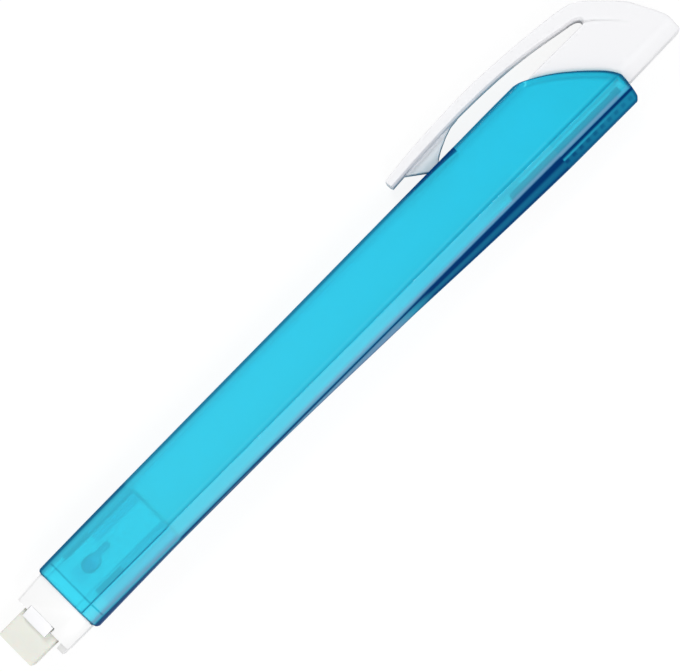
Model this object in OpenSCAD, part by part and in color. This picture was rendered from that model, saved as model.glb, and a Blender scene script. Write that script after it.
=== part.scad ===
// Eraser stick: a see-through barrel with a keel, a pull-off nosepiece that guides a block of eraser, and a
// push-in end cap with a clip. The part lies on its rear broad face. X runs from the eraser tip to the cap, Y is
// towards the clip and Z is the thickness. Lengths along the barrel are counted from its mouth, and those named
// back, or noted so, from its top end.

/* [Barrel] */
// Length from the mouth to the slanted top end
barrel_len = 118.5; // [114:0.5:123]
// Thickness between the two broad faces
barrel_t = 9.6; // [9.5:0.1:10.4]
// Thickness of the broad walls
wall = 0.85; // [0.75:0.05:0.9]
// Thickness of the narrow wall under the clip
side_wall = 0.8; // [0.6:0.05:0.85]
// Rounding of the two edges on the clip side
edge_r = 0.6; // [0.3:0.1:0.8]
// Length of the bevelled band at the mouth
mouth_band = 2.2; // [1.6:0.1:3]
// Fall of the broad faces over that band
mouth_drop = 0.3; // [0.1:0.05:0.35]

/* [Grip and keel] */
// Length from the mouth to the narrowest place of the grip
waist_x = 32; // [26:1:38]
// Height of the keel beyond the bevels at the mouth
keel_mouth = 0.4; // [0.2:0.05:0.7]
// Height of the keel where it starts to swell
keel_low = 0.55; // [0.3:0.05:0.9]
// Height of the keel where the swelling slows
keel_mid = 1.48; // [1.3:0.05:1.7]
// Height of the keel at the top end
keel_top = 2; // [1.95:0.05:2.4]
// Half width of the flat that runs along the keel
keel_flat = 0.7; // [0.5:0.1:0.9]
// Fall of each bevel from its broad face
bevel_drop = 1.2; // [1.05:0.05:1.3]

/* [Ratchet] */
// Distance between two notches of the ratchet
notch_pitch = 1.55; // [1.4:0.05:1.6]
// Number of teeth on the rack inside the keel
rack_teeth = 10; // [9:1:10]
// Height of a rack tooth
tooth_h = 0.55; // [0.4:0.05:0.65]

/* [Clip foot groove] */
// Length of the groove from its square end to where it runs out
groove_len = 16.4; // [14:0.2:18]
// Depth of the groove at its square end
groove_depth = 0.58; // [0.4:0.02:0.66]
// Width of the groove
groove_w = 3.4; // [3.2:0.1:3.8]

/* [Nosepiece] */
// Length of the neck in front of the mouth
neck_len = 5.4; // [4.6:0.1:6.5]
// Length of the insert inside the barrel
insert_len = 19.1; // [18.2:0.1:19.1]
// Drop of the insert's two flanges below its pad
flange_drop = 0.4; // [0.2:0.05:0.45]
// Radius of the round end of the keyhole
key_r = 1.31; // [1.2:0.01:1.5]

/* [Finger] */
// Reach of the finger tab in front of the neck
tab_reach = 1.2; // [0.6:0.1:1.6]
// Width of the finger tab
tab_w = 4.72; // [4:0.02:4.9]
// Thickness of the finger under the neck's face
finger_t = 0.45; // [0.35:0.05:0.5]

/* [Eraser] */
// Length of the eraser block
eraser_len = 28.5; // [26:0.5:28.5]
// Width of the eraser block
eraser_w = 7.16; // [6.8:0.02:7.2]
// Thickness of the eraser block
eraser_t = 5; // [4.6:0.1:5]
// Rounding of the long edges
eraser_r = 0.35; // [0.2:0.05:0.6]

/* [Carrier] */
// Length of the two prongs that grip the eraser
prong_len = 8.9; // [7:0.1:9.5]
// Thickness of a prong
prong_t = 0.46; // [0.4:0.02:0.48]
// Thickness of the push wall behind the eraser
push_wall = 1.1; // [0.9:0.1:1.4]
// Width of the long bar back to the cap
bar_w = 1.95; // [1.6:0.05:2]
// Radius of the peg that hooks into the cap's arm
peg_r = 0.4; // [0.35:0.01:0.44]

/* [End cap] */
// Thickness of the clip
clip_t = 6.4; // [5:0.2:7]
// Thickness of the clip's foot
foot_t = 2.8; // [2.2:0.1:3]
// Thickness of the ratchet arm
arm_t = 4; // [3.6:0.1:4]
// Travel of the cap in whole notches
cap_notches = 7; // [5:1:7]

/* [Fits] */
// Gap between the cap or the insert and the barrel's walls
slide_gap = 0.1; // [0.08:0.01:0.14]
// Gap all round the eraser
eraser_gap = 0.06; // [0.04:0.01:0.08]
// Gap between the pawl and the tooth tips
pawl_gap = 0.06; // [0.05:0.01:0.1]
// Gap between the peg and its hole
peg_gap = 0.05; // [0.03:0.01:0.06]

/* [Hidden] */
$fn = 48;

half_t = barrel_t / 2;
inner_h = half_t - wall;
eps = 0.01;
sink = 0.1;
over = 1;
far = 40;

// place of the mouth in the part's frame
mouth_at = [-59.4, 0, half_t];

// heights of the clip-side wall, from the axis
side_mouth = 4.05;
side_waist = 4.43;
side_low = 4.71;
side_mid = 4.92;
side_top = 5.05;

// crease between a broad face and its bevel, and the bevel's lower edge
crease_y = 5.46;
bevel_y = 8.06;
ridge_soft = 0.12;
ridge_half = keel_flat + 0.6;

// stations along the keel, counted back from the top end
low_back = 57.5;
mid_back = 31.9;
full_back = 11.6;
low_x = barrel_len - low_back;
mid_x = barrel_len - mid_back;
full_x = barrel_len - full_back;

// slanted top end, counted from the barrel's length
end_curve = [[-13.4, 5.08], [-11.9, 4.66], [-9.4, 3.32], [-6.95, 1.69], [-4.5, -0.32], [-2, -2.71],
  [-0.8, -4.12], [-0.08, -5.4]];
end_foot = [[0, -6.2], [-0.1, -7.64], [-0.3, -9.4], [-0.45, -9.75], [-0.75, -10], [-1.1, -10.2]];

// inside of the barrel
bore_right = 7.43;
bore_crease = 5.27;
bore_corner_h = inner_h - 1;
bore_front = 3.2;
step_gap = 0.15;
bore_step_x = insert_len + step_gap;
bore_flare = [0.14, 0.08];
counterbore = 0.12;
pad_h = 0.55;
pad_rim = 0.5;
pad_lead = 1.5;
pad_tail = 0.8;
pad_half = groove_w / 2 + pad_rim;
groove_back = 26.4;
groove_end = barrel_len - groove_back;
groove_rise = [0.06, 0.26];
arm_lane_y = 7.98;
arm_lane_back = 38.2;
lane_join = 0.5;
rack_lane_back = 16.4;
rack_lane_half = 1.7;
keel_wall = 0.71;
rack_floor = bevel_y + keel_top - keel_wall;
rack_half = 0.75;
tooth_tip_w = 0.45;
tooth_root_w = 1.15;
first_tooth_back = 15.2;

// nosepiece
neck_left_front = 3.08;
neck_left_back = 3.5;
neck_right = 7.78;
neck_crease = 5.2;
neck_fall = 1.1;
neck_soft = 0.3;
neck_seat = 0.12;
insert_h = inner_h - slide_gap;
insert_left = bore_front - slide_gap;
insert_right = bore_right - slide_gap;
flange_x = 4.3;
flange_y = [2.06, -4.39];
front_wall = 0.7;
room_side = 2.35;
room_top = insert_h - front_wall;
room_gap = 0.1;
room_half = eraser_w / 2 + eraser_gap + prong_t + room_gap;
room_slope = [0.38, 2.07];
key_y = -1;
key_x = [6.25, 7.2];
stem_end = 11;
stem_half = 0.58;
stem_y = -0.67;
key_pocket = [3.5, 0.25];
lip_y = [-6.35, -7.7];
lip_shape = [[0.1, -2.6], [-1.2, -2.6], [-1.3, -2.3], [-1.3, 0.9], [-0.9, 1.6], [0.1, 2.3]];

// eraser and what holds it
eraser_y = -2.07;
eraser_back = 17.1;
finger_gap = 0.12;
finger_h = [eraser_t / 2 + finger_gap, eraser_t / 2 + finger_gap + finger_t];
tab_y = -1.58;
tab_back = -4.63;
tab_top = insert_h - 0.03;
tab_side_gap = 0.24;
tab_back_gap = 0.13;
tab_root = 0.4;
finger_y = [1.55, -3.95];
finger_back = 15;
button_r = 1.1;
button_h = 0.35;
prong_half = 1.95;
push_gap = 0.1;
push_half = 2.2;
arm_y = [-6.17, slide_gap - arm_lane_y];
bar_y = arm_y[0] + slide_gap;
bar_z = [-2.2, -0.9];
peg_x = barrel_len - 24;
peg_z = -1.3;
peg_len = 0.95;
peg_root = 0.3;
peg_room = 0.25;
bar_end = peg_x + 1.1;

// end cap outlines, x counted from the barrel's top end
cap_h = inner_h - slide_gap;
plug_side = side_top - side_wall - slide_gap;
clip_outer = [[-37.3, 8.86], [-31, 9.48], [-24.8, 9.82], [-19.7, 10.01], [-15.5, 9.9], [-9.25, 9.5], [-3, 8.92],
  [0.1, 8.51], [2.3, 7.98], [3.7, 7.12], [5.2, 5.73], [8.5, 2.2], [9.6, 0.39], [11.45, -3.35], [11.72, -4.9]];
cap_right = bore_right - 0.24;
cap_corner = [[11.7, -6.7], [11.55, -6.9], [0.6, -cap_right], [-1.6, -cap_right]];
cap_inside = [[-1.6, -5.57], [-2.4, -4.12], [-3.6, -2.71], [-6.1, -0.32], [-8.55, 1.69], [-11, 3.32],
  [-12.2, plug_side - 0.12]];
slot_curve = [[-8.7, plug_side - 0.06], [0.9, plug_side + 0.03], [1.45, 4.36], [1.7, 4.7], [1.55, 5.15],
  [1.1, 5.48], [0.4, 5.72], [-1.2, 6], [-7.4, 7.05], [-13.7, 7.69], [-20, 7.91], [-24, 7.88], [-31, 7.6],
  [-37.1, 7.2]];
foot_curve = [[-22.6, 8.3], [-22.6, 7.9], [-24.2, 7.77], [-25.8, 7.23], [-28, 6.22], [-29.3, 5.4], [-29.65, 4.95],
  [-31.4, 4.95], [-31.9, 5.24], [-34.8, 7.38], [-34.8, 8.2]];
rim_region = [[-far, far], [-far, 4.7], [1.6, 4.5], [2.7, 3.75], [4, 2.5], [5.5, 0.95], [6.9, -0.82], [8.2, -2.6],
  [8.2, far]];
rim_blend = [2, 8];
cap_crease = bore_crease - 0.15;
cap_side_fall = [7.5, 1.04];
arm_span = [-26.5, -0.9];
arm_slant = 1.1;
arm_root_x = -2;
arm_root_h = 0.3;
pawl_x = [-5.1, -4.4, -4.15, -3.75];
pawl_half = 0.7;
pawl_tip = rack_floor - tooth_h - pawl_gap;
cap_travel = cap_notches * notch_pitch;
echo(cap_travel = cap_travel);

// smooth curve through listed points
function between(a, b, c, d, t) = 0.5 * (2 * b + (c - a) * t + (2 * a - 5 * b + 4 * c - d) * t * t
  + (3 * b - a - 3 * c + d) * t * t * t);
function through(p, n) = concat([for (i = [0 : len(p) - 2]) for (j = [0 : n - 1])
  between(p[max(i - 1, 0)], p[i], p[i + 1], p[min(i + 2, len(p) - 1)], j / n)], [p[len(p) - 1]]);
function from_end(p) = [for (q = p) [barrel_len + q[0], q[1]]];
function both_sides(half) = concat(half, [for (i = [len(half) - 1 : -1 : 0]) [half[i][0], -half[i][1]]]);

// cross-sections, as points [y, z]
function skin(side, keel, h) = both_sides(concat(
  [for (a = [0 : 22.5 : 90]) [side - edge_r + edge_r * cos(a), h - edge_r + edge_r * sin(a)]],
  [[-crease_y, h], [-bevel_y, h - bevel_drop], [-keel + ridge_soft, ridge_half], [-keel, keel_flat]]));
function bore(side, grow) = both_sides([[side + grow, inner_h + grow], [-bore_crease - grow / 2, inner_h + grow],
  [-bore_right - grow, bore_corner_h + grow / 2]]);
function neck(side, right, h) = both_sides([[side, h - neck_soft], [side - neck_soft, h], [-neck_crease, h],
  [-right, h - neck_fall]]);

module along(x0, x1) {
  translate([x0, 0, 0]) rotate([90, 0, 90]) linear_extrude(height = x1 - x0) children();
}

module flat_cut(h0, h1) {
  translate([0, 0, h0]) linear_extrude(height = h1 - h0) children();
}

module block(x, y, z) {
  translate([min(x[0], x[1]), min(y[0], y[1]), min(z[0], z[1])])
    cube([abs(x[1] - x[0]), abs(y[1] - y[0]), abs(z[1] - z[0])]);
}

module both_faces() {
  children();
  mirror([0, 0, 1]) children();
}

module rounded(w, t, r) {
  square([w - 2 * r, t], center = true);
  square([w, t - 2 * r], center = true);
  for (i = [-1, 1], j = [-1, 1]) translate([i * (w / 2 - r), j * (t / 2 - r)]) circle(r = r);
}

// stations of the barrel's outside: [x, side, keel, half thickness]
stations = [
  [0, side_mouth, bevel_y + keel_mouth, half_t - mouth_drop],
  [mouth_band, side_mouth + 0.03, bevel_y + keel_mouth - 0.03, half_t],
  [waist_x, side_waist, bevel_y, half_t],
  [low_x, side_low, bevel_y + keel_low, half_t],
  [mid_x, side_mid, bevel_y + keel_mid, half_t],
  [full_x, side_top, bevel_y + keel_top, half_t],
  [barrel_len, side_top, bevel_y + keel_top, half_t]];

module barrel_skin() {
  for (i = [0 : len(stations) - 2]) {
    a = stations[i];
    b = stations[i + 1];
    hull() {
      along(a[0], a[0] + eps) polygon(skin(a[1], a[2], a[3]));
      along(b[0] - eps, b[0]) polygon(skin(b[1], b[2], b[3]));
    }
  }
}

module barrel_bore() {
  along(-over, mouth_band) polygon(bore(bore_front, counterbore));
  along(mouth_band - eps, bore_step_x + eps) polygon(bore(bore_front, 0));
  difference() {
    hull() {
      along(bore_step_x, bore_step_x + eps) polygon(bore(side_waist - bore_flare[0] - side_wall, 0));
      along(barrel_len + over, barrel_len + over + eps) polygon(bore(side_top + bore_flare[1] - side_wall, 0));
    }
    block([groove_end - groove_len - pad_lead, groove_end + pad_tail], [side_top - side_wall - pad_h, side_top],
      [-pad_half, pad_half]);
  }
}

module keel_lanes() {
  arm_half = arm_t / 2 + slide_gap;
  block([barrel_len - arm_lane_back, barrel_len + over], [-arm_lane_y, lane_join - bore_right], [-arm_half, arm_half]);
  along(barrel_len - rack_lane_back, barrel_len + over)
    polygon(both_sides([[-bore_right, rack_lane_half], [-arm_lane_y, rack_lane_half], [-rack_floor, rack_half]]));
}

module rack() {
  root = -rack_floor - sink;
  tip = tooth_h - rack_floor;
  for (i = [0 : rack_teeth - 1]) translate([barrel_len - first_tooth_back + i * notch_pitch, 0, 0])
    flat_cut(-rack_half, rack_half) polygon([[-tooth_root_w / 2, root], [tooth_root_w / 2, root],
      [tooth_tip_w / 2, tip], [-tooth_tip_w / 2, tip]]);
}

module foot_groove() {
  top = side_mid + over;
  run = [groove_end, groove_end - groove_len / 2, groove_end - groove_len];
  flat_cut(-groove_w / 2, groove_w / 2) polygon([[run[0], top], [run[0], side_mid + groove_rise[0] - groove_depth],
    [run[1], side_mid + groove_rise[1] - groove_depth], [run[2], side_mid - groove_rise[0]], [run[2], top]]);
}

module top_end_cut() {
  flat_cut(-far, far) polygon(concat(from_end(concat(through(end_curve, 3), through(end_foot, 2))),
    [[barrel_len + far, -far], [barrel_len + far, far], [barrel_len + end_curve[0][0], far]]));
}

module barrel() {
  color([0.24, 0.8, 0.92, 0.55]) translate(mouth_at) {
    difference() {
      barrel_skin();
      barrel_bore();
      keel_lanes();
      foot_groove();
      top_end_cut();
    }
    rack();
  }
}

module keyhole() {
  top = insert_h + sink;
  low = room_top - sink;
  for (x = key_x) translate([x, key_y, low]) cylinder(r = key_r, h = top - low);
  block(key_x, [key_y - key_r, key_y + key_r], [low, top]);
  block([key_x[1], stem_end - stem_half], [stem_y - stem_half, stem_y + stem_half], [low, top]);
  translate([stem_end - stem_half, stem_y, low]) cylinder(r = stem_half, h = top - low);
  block([key_pocket[0], key_x[0]], [key_y - key_r, key_y + key_r], [insert_h - key_pocket[1], top]);
}

module nose_body() {
  hull() {
    along(-neck_len, -neck_len + eps) polygon(neck(neck_left_front, neck_right, insert_h));
    along(-neck_seat - eps, -neck_seat) polygon(neck(neck_left_back, neck_right, insert_h));
  }
  difference() {
    along(-neck_seat - eps, insert_len) polygon(neck(insert_left, insert_right, insert_h));
    both_faces() {
      block([flange_x, insert_len + over], [flange_y[0], far], [insert_h - flange_drop, far]);
      block([flange_x, insert_len + over], [flange_y[1], -far], [insert_h - flange_drop, far]);
    }
  }
}

module nosepiece() {
  notch = [tab_y + tab_w / 2 + tab_side_gap, tab_y - tab_w / 2 - tab_side_gap];
  color([0.96, 0.96, 0.97]) translate(mouth_at) {
    difference() {
      nose_body();
      along(-neck_len - over, insert_len + over) polygon(both_sides([[eraser_y + room_half, room_side],
        [eraser_y + room_half - room_slope[0], room_top], [eraser_y - room_half + room_slope[1], room_top],
        [eraser_y - room_half, room_side]]));
      block([-neck_len - over, tab_back + tab_back_gap], notch, [finger_h[0] - finger_gap / 2, far]);
      keyhole();
    }
    translate([-neck_len, lip_y[0], 0]) rotate([90, 0, 0])
      linear_extrude(height = lip_y[0] - lip_y[1]) polygon(lip_shape);
  }
}

module finger() {
  color([0.94, 0.94, 0.96]) translate(mouth_at) {
    block([tab_back - tab_root, finger_back], finger_y, finger_h);
    block([-neck_len - tab_reach, tab_back], [tab_y - tab_w / 2, tab_y + tab_w / 2], [finger_h[0], tab_top]);
    translate([(key_x[0] + key_x[1]) / 2, key_y, finger_h[1] - eps]) cylinder(r = button_r, h = button_h);
  }
}

module eraser() {
  color([0.89, 0.9, 0.86]) translate(mouth_at) translate([eraser_back - eraser_len, eraser_y, 0]) intersection() {
    along(0, eraser_len) rounded(eraser_w, eraser_t, eraser_r);
    flat_cut(-eraser_t, eraser_t) translate([eraser_len / 2, 0]) rounded(eraser_len, eraser_w, eraser_r);
  }
}

module eraser_carrier() {
  inner = eraser_w / 2 + eraser_gap;
  push_x = [eraser_back + push_gap, eraser_back + push_gap + push_wall];
  color([0.9, 0.91, 0.93]) translate(mouth_at) {
    for (s = [-1, 1])
      block([push_x[0] - prong_len, push_x[1]], [eraser_y + s * inner, eraser_y + s * (inner + prong_t)],
        [-prong_half, prong_half]);
    block(push_x, [eraser_y - inner - prong_t, eraser_y + inner + prong_t], [-push_half, push_half]);
    block([push_x[0], bar_end], [bar_y, bar_y + bar_w], bar_z);
    translate([peg_x, bar_y + peg_root, peg_z]) rotate([90, 0, 0]) cylinder(r = peg_r, h = peg_len + peg_root);
  }
}

module cap_outline() {
  polygon(from_end(concat(through(clip_outer, 3), cap_corner, cap_inside, through(slot_curve, 3))));
}

module rim_cut() {
  both_faces() intersection() {
    flat_cut(-far, far) polygon(from_end(rim_region));
    translate([0, far, 0]) rotate([90, 0, 0]) linear_extrude(height = 2 * far)
      polygon(from_end([[-far, clip_t / 2], [rim_blend[0], clip_t / 2], [rim_blend[1], cap_h],
        [rim_blend[1] + over, far], [-far, far]]));
  }
}

module ratchet_arm() {
  root = arm_y[0] + arm_root_h;
  flat_cut(-arm_t / 2, arm_t / 2) polygon(from_end([[arm_span[0], arm_y[1]], [arm_span[0] + arm_slant, arm_y[0]],
    [arm_root_x, arm_y[0]], [arm_root_x, root], [arm_span[1], root], [arm_span[1], arm_y[1]]]));
  flat_cut(-pawl_half, pawl_half) polygon(from_end([[pawl_x[0], arm_y[1] + sink], [pawl_x[1], -pawl_tip],
    [pawl_x[2], -pawl_tip], [pawl_x[3], arm_y[1] + sink]]));
}

module end_cap() {
  color([0.96, 0.96, 0.97]) translate(mouth_at) difference() {
    union() {
      difference() {
        intersection() {
          flat_cut(-cap_h, cap_h) cap_outline();
          along(-far, barrel_len + far) polygon(both_sides([[far, cap_h], [-cap_crease, cap_h],
            [-cap_side_fall[0], cap_h - cap_side_fall[1]]]));
        }
        rim_cut();
      }
      flat_cut(-foot_t / 2, foot_t / 2) polygon(from_end(foot_curve));
      ratchet_arm();
    }
    translate([peg_x, arm_y[0] + over, peg_z]) rotate([90, 0, 0])
      cylinder(r = peg_r + peg_gap, h = over + peg_len + peg_room - slide_gap);
  }
}

barrel();
nosepiece();
finger();
eraser();
eraser_carrier();
end_cap();
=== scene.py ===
import math

import bmesh
import bpy
from mathutils import Matrix, Vector


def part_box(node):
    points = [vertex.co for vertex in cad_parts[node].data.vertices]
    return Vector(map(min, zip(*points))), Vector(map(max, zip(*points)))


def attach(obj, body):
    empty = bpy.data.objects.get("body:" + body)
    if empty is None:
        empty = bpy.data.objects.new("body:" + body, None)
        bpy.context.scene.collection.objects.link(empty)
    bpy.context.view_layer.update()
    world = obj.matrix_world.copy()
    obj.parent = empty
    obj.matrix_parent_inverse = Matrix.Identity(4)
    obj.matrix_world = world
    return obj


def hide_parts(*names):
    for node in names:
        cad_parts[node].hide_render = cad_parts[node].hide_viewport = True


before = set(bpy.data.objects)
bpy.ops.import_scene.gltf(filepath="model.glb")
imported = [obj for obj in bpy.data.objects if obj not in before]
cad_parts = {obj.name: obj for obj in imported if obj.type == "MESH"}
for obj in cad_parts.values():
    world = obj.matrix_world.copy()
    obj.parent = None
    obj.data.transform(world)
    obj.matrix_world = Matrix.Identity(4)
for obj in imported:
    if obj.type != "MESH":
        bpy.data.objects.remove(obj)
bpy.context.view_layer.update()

mm = 0.001
joinWithin = 0.002                                 # mm, points closer than this are one
edgeAngle = 28                                     # degrees, edges sharper than this are softened
barrelLow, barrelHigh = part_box("barrel")
mouthX = barrelLow.x / mm                          # the barrel's mouth, mm along the stick
midZ = (barrelLow.z + barrelHigh.z) / 2 / mm       # halfway between the two broad faces
halfT = (barrelHigh.z - barrelLow.z) / 2 / mm
barrelLen = (barrelHigh.x - barrelLow.x) / mm
print("frame loaded, barrel", round(barrelLen, 1), "mm long")


# small tools that every piece uses

def linear(hexColour):
    # a colour as seen on a screen, in the linear values that the renderer wants
    channels = [int(hexColour[i:i + 2], 16) / 255 for i in (1, 3, 5)]
    return [c / 12.92 if c < 0.04045 else ((c + 0.055) / 1.055) ** 2.4 for c in channels] + [1]


def addNode(tree, kind, settings=None, links=None, **inputs):
    # one node: settings are its own options, inputs go on sockets, links come from other nodes' sockets
    node = tree.nodes.new(kind)
    for key, value in (settings or {}).items():
        setattr(node, key, value)
    for key, value in inputs.items():
        node.inputs[key.replace("_", " ")].default_value = value
    for key, source in (links or {}).items():
        tree.links.new(source, node.inputs[key])
    return node


def mixColours(tree, share, under, over):
    # under where the share is 0, over where it is 1, each a colour or another node's socket
    node = addNode(tree, "ShaderNodeMix", {"data_type": "RGBA"}, {0: share})
    for socket, colour in ((node.inputs[6], under), (node.inputs[7], over)):
        if isinstance(colour, bpy.types.NodeSocket):
            tree.links.new(colour, socket)
        else:
            socket.default_value = colour
    return node.outputs[2]


def newMaterial(name):
    material = bpy.data.materials.new(name)
    material.use_nodes = True
    tree = material.node_tree
    tree.nodes.clear()
    output = addNode(tree, "ShaderNodeOutputMaterial")
    coords = addNode(tree, "ShaderNodeTexCoord")
    return material, tree, output, coords.outputs["Object"]


def place(point):
    # from mm along the barrel, up to the clip and out from the mid plane, to the frame in metres
    return Vector(((mouthX + point[0]) * mm, point[1] * mm, (midZ + point[2]) * mm))


def addPiece(name, points, faces, body, material, replaced):
    mesh = bpy.data.meshes.new(name)
    mesh.from_pydata([place(p) for p in points], [], faces)
    piece = bpy.data.objects.new(name, mesh)
    bpy.context.scene.collection.objects.link(piece)
    finishPiece(piece, body, material, replaced)
    return piece


def finishPiece(piece, body, material, replaced):
    piece.data.materials.clear()
    piece.data.materials.append(material)
    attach(piece, body)
    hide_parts(*replaced)


def tidyNormals(piece, sharpAngle):
    # doubled points joined, faces turned outwards, smooth except at edges sharper than the angle
    bm = bmesh.new()
    bm.from_mesh(piece.data)
    bmesh.ops.remove_doubles(bm, verts=bm.verts, dist=joinWithin * mm)
    bmesh.ops.recalc_face_normals(bm, faces=bm.faces)
    for face in bm.faces:
        face.smooth = True
    for edge in bm.edges:
        edge.smooth = edge.is_manifold and edge.calc_face_angle(0) < math.radians(sharpAngle)
    bm.to_mesh(piece.data)
    bm.free()


def bake(piece):
    # the modifiers' result becomes the mesh itself
    depsgraph = bpy.context.evaluated_depsgraph_get()
    mesh = bpy.data.meshes.new_from_object(piece.evaluated_get(depsgraph))
    piece.modifiers.clear()
    piece.data = mesh


def softenEdges(piece, width, segments=3):
    bevel = piece.modifiers.new("soft edges", "BEVEL")
    bevel.width = width * mm
    bevel.segments = segments
    bevel.limit_method = "ANGLE"
    bevel.angle_limit = math.radians(edgeAngle)
    bake(piece)


def melt(piece, voxel, rounds):
    # every edge of a moulding a little round: remeshed finely, then smoothed
    fine = piece.modifiers.new("fine mesh", "REMESH")
    fine.mode = "VOXEL"
    fine.voxel_size = voxel * mm
    fine.use_smooth_shade = True
    soft = piece.modifiers.new("melted edges", "SMOOTH")
    soft.factor = 0.5
    soft.iterations = rounds
    bake(piece)


def curveThrough(points, steps):
    # a smooth line through a few measured points
    line = []
    for i in range(len(points) - 1):
        a, b, c, d = (Vector(points[min(max(i + k, 0), len(points) - 1)]) for k in (-1, 0, 1, 2))
        for s in range(steps):
            t = s / steps
            line.append(0.5 * (2 * b + (c - a) * t + (2 * a - 5 * b + 4 * c - d) * t * t
                               + (3 * b - a - 3 * c + d) * t ** 3))
    line.append(Vector(points[-1]))
    return [tuple(p) for p in line]


def lookUp(table, x):
    # height at x on the smooth line through the table's points
    if x <= table[0][0]:
        return table[0][1]
    if x >= table[-1][0]:
        return table[-1][1]
    for i in range(len(table) - 1):
        (x1, y1), (x2, y2) = table[i], table[i + 1]
        if x1 <= x <= x2:
            t = (x - x1) / (x2 - x1)
            before = table[max(i - 1, 0)]
            after = table[min(i + 2, len(table) - 1)]
            slope1 = (y2 - before[1]) / (x2 - before[0]) * (x2 - x1)
            slope2 = (after[1] - y1) / (after[0] - x1) * (x2 - x1)
            return ((2 * t ** 3 - 3 * t * t + 1) * y1 + (t ** 3 - 2 * t * t + t) * slope1
                    + (3 * t * t - 2 * t ** 3) * y2 + (t ** 3 - t * t) * slope2)


def corner(y, z, radius, steps):
    # quarter round in a section, from pointing up to the clip to pointing off the mid plane
    angles = [math.radians(90 * i / steps) for i in range(steps + 1)]
    return [(y + radius * math.cos(a), z + radius * math.sin(a)) for a in angles]


def prism(name, outline, low, high, across="z"):
    # an outline in mm pushed through from low to high: across z it lies in the broad face, across x it is a
    # cross-section and across y a side view
    turns = {"z": lambda a, b, c: (a, b, c), "x": lambda a, b, c: (c, a, b), "y": lambda a, b, c: (a, c, b)}
    turn = turns[across]
    mesh = bpy.data.meshes.new(name)
    bm = bmesh.new()
    ends = [[bm.verts.new(place(turn(a, b, c))) for a, b in outline] for c in (low, high)]
    for ring in ends:
        bm.faces.new(ring)
    count = len(outline)
    for i in range(count):
        j = (i + 1) % count
        bm.faces.new((ends[0][i], ends[0][j], ends[1][j], ends[1][i]))
    bmesh.ops.recalc_face_normals(bm, faces=bm.faces)
    bm.to_mesh(mesh)
    bm.free()
    piece = bpy.data.objects.new(name, mesh)
    bpy.context.scene.collection.objects.link(piece)
    return piece


def combine(piece, other, how):
    join = piece.modifiers.new(how, "BOOLEAN")
    join.operation = how
    join.solver = "EXACT"
    join.object = other
    bake(piece)
    bpy.data.objects.remove(other)


def copyOfNode(node, name):
    # a free copy of a CAD node's mesh, with the flat stretches joined into whole faces
    piece = bpy.data.objects.new(name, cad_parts[node].data.copy())
    bpy.context.scene.collection.objects.link(piece)
    bm = bmesh.new()
    bm.from_mesh(piece.data)
    bmesh.ops.remove_doubles(bm, verts=bm.verts, dist=joinWithin * mm)
    bmesh.ops.dissolve_limit(bm, angle_limit=math.radians(1), verts=bm.verts, edges=bm.edges)
    bm.to_mesh(piece.data)
    bm.free()
    return piece


# materials

shellLook = {
    "absorb": "#00f6fb",         # what is left of white light in the thickest places
    "density": 2300,             # how fast the blue deepens, per metre
    "ior": 1.4,
    "milkIor": 1.01,             # the milky share lies under the skin and has next to no shine of its own
    "noseBlue": "#4cdffb",       # colour of the share that scatters, at the mouth and at the top end
    "topBlue": "#26cff5",
    "paintedLight": "#9ceeff",           # painted light: lighter bands, such as the bevels' middle, are painted towards this
    "deep": "#003470",           # painted shade: rims, dark lines, clip-side edges and the keel are painted towards this
    # the same painted shade in the see-through share
    "shadedGlass": "#003c74",
    "greyShade": "#9a94be",           # painted grey shade along the bevels' lower edges and on the grip's keel
    "outsideRough": 0.06,
    "insideRough": 0.16,
    "lampsPass": "#dcdcdc",      # how much of the lamps' light goes straight through each skin
    "moulding mm": 9.0,          # distance between the faint waves of the moulding
}


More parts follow.
